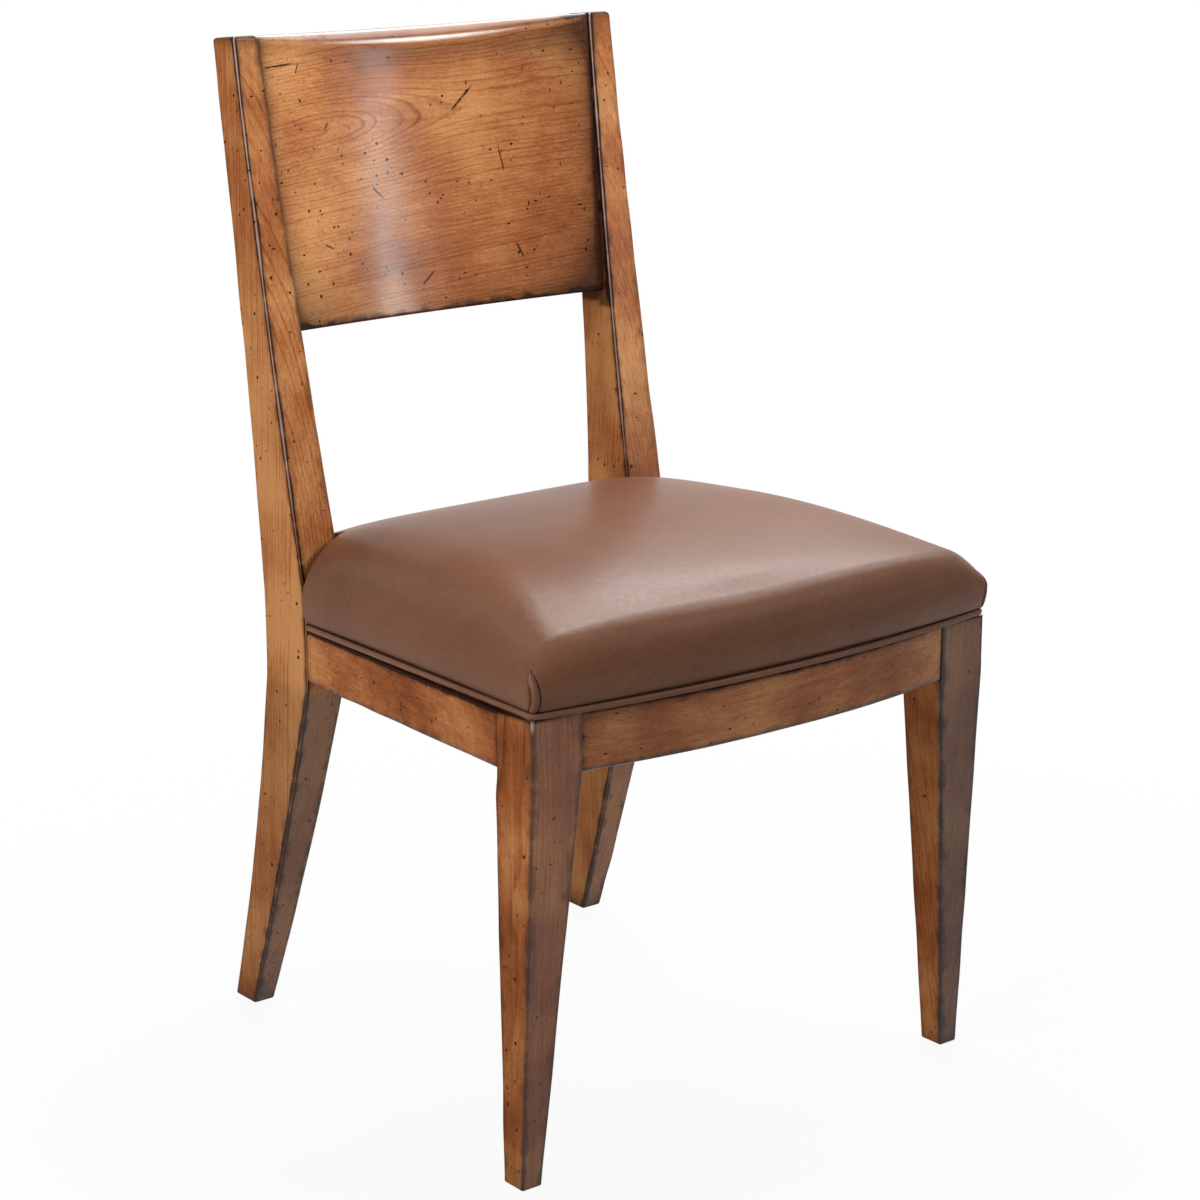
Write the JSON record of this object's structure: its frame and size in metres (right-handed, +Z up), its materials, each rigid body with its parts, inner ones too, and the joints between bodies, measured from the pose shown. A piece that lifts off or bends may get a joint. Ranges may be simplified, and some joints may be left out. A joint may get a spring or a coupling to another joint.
{
  "type": "dining chair",
  "caption": "Armless wooden dining side chair with swept rear posts, a curved solid back panel, tapered front legs and an upholstered leather seat.",
  "frame": {"origin": "on the floor, at the middle of the bounding box's bottom face", "axes": "+Z up; +Y towards the back of the chair, so the front of the seat faces -Y; +X to the right as seen from the front"},
  "size_m": [0.509, 0.563, 0.9144],
  "materials": {
    "post_cherry": "honey cherry, satin lacquer over a dark glaze, distressed",
    "leg_cherry": "honey cherry, satin lacquer over a dark glaze, distressed",
    "rail_cherry": "honey cherry, satin lacquer over a dark glaze, distressed",
    "panel_cherry": "honey cherry with cathedral figure, semi-gloss lacquer, distressed",
    "block_poplar": "bare sawn hardwood",
    "board_plywood": "bare plywood",
    "dowel_beech": "bare turned hardwood",
    "seat_foam": "open-cell upholstery foam",
    "seat_leather": "mid-brown semi-gloss leather, fine pebble grain",
    "welt_leather": "mid-brown semi-gloss leather over a cord",
    "screw_steel": "zinc-plated steel"
  },
  "bodies": {
    "root": {"back_panel": "panel_cherry", "block_screw_front_left_cross": "screw_steel", "block_screw_front_left_side": "screw_steel", "block_screw_front_right_cross": "screw_steel", "block_screw_front_right_side": "screw_steel", "block_screw_rear_left_cross": "screw_steel", "block_screw_rear_left_side": "screw_steel", "block_screw_rear_right_cross": "screw_steel", "block_screw_rear_right_side": "screw_steel", "corner_block_front_left": "block_poplar", "corner_block_front_right": "block_poplar", "corner_block_rear_left": "block_poplar", "corner_block_rear_right": "block_poplar", "dowel_front_rail_left_high": "dowel_beech", "dowel_front_rail_left_low": "dowel_beech", "dowel_front_rail_right_high": "dowel_beech", "dowel_front_rail_right_low": "dowel_beech", "dowel_rear_rail_left_high": "dowel_beech", "dowel_rear_rail_left_low": "dowel_beech", "dowel_rear_rail_right_high": "dowel_beech", "dowel_rear_rail_right_low": "dowel_beech", "dowel_side_rail_left_front_high": "dowel_beech", "dowel_side_rail_left_front_low": "dowel_beech", "dowel_side_rail_left_rear_high": "dowel_beech", "dowel_side_rail_left_rear_low": "dowel_beech", "dowel_side_rail_right_front_high": "dowel_beech", "dowel_side_rail_right_front_low": "dowel_beech", "dowel_side_rail_right_rear_high": "dowel_beech", "dowel_side_rail_right_rear_low": "dowel_beech", "front_leg_left": "leg_cherry", "front_leg_right": "leg_cherry", "front_rail": "rail_cherry", "rear_post_left": "post_cherry", "rear_post_right": "post_cherry", "rear_rail": "rail_cherry", "seat_board": "board_plywood", "seat_cover": "seat_leather", "seat_foam": "seat_foam", "seat_screw_front_left": "screw_steel", "seat_screw_front_right": "screw_steel", "seat_screw_rear_left": "screw_steel", "seat_screw_rear_right": "screw_steel", "seat_welt": "welt_leather", "side_rail_left": "rail_cherry", "side_rail_right": "rail_cherry"}
  },
  "joints": []
}
